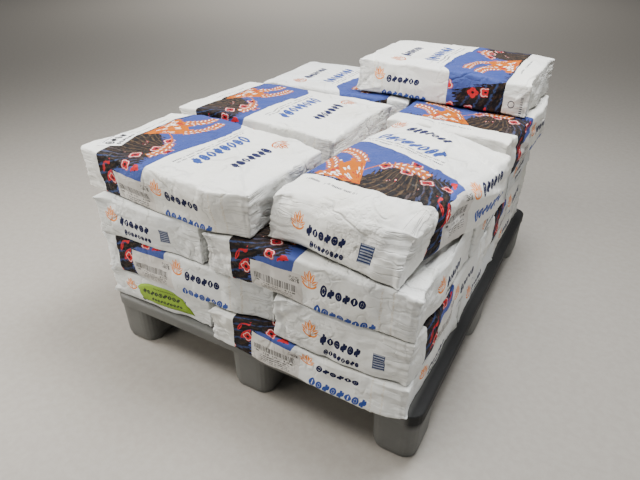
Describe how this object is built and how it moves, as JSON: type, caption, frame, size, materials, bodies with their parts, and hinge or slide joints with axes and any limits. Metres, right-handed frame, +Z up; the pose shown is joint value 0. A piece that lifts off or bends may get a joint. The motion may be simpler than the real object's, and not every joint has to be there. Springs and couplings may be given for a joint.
{
  "type": "pallet of sacks",
  "caption": "Moulded plastic pallet on separate block feet, loaded with full paper sacks lying flat in interlocked layers, with a last sack across the top at the back.",
  "frame": {"origin": "on the floor under the middle of the pallet, which is the middle of the middle foot's underside", "axes": "+X to the right along the pallet's 1000 mm front, +Y to the back along its 1200 mm depth, +Z up"},
  "size_m": [1.07, 1.234, 0.757],
  "materials": {
    "pallet_plastic": "scuffed grey moulded plastic",
    "sack_paper": "white kraft paper, printed, creased",
    "green_label": "green paper label",
    "white_label": "white paper label"
  },
  "bodies": {
    "root": {"pallet": "pallet_plastic", "sack_layer1_left_front": "sack_paper", "sack_layer1_left_back": "sack_paper", "sack_layer1_right_front": "sack_paper", "sack_layer1_right_middle": "sack_paper", "sack_layer1_right_back": "sack_paper", "sack_layer2_left_front": "sack_paper", "sack_layer2_left_middle": "sack_paper", "sack_layer2_left_back": "sack_paper", "sack_layer2_right_front": "sack_paper", "sack_layer2_right_back": "sack_paper", "sack_layer3_left_front": "sack_paper", "sack_layer3_left_back": "sack_paper", "sack_layer3_right_front": "sack_paper", "sack_layer3_right_middle": "sack_paper", "sack_layer3_right_back": "sack_paper", "sack_layer4_left_front": "sack_paper", "sack_layer4_left_middle": "sack_paper", "sack_layer4_left_back": "sack_paper", "sack_layer4_right_front": "sack_paper", "sack_layer4_right_back": "sack_paper", "sack_layer5_back": "sack_paper", "green_label": "green_label", "white_label": "white_label"}
  },
  "joints": []
}
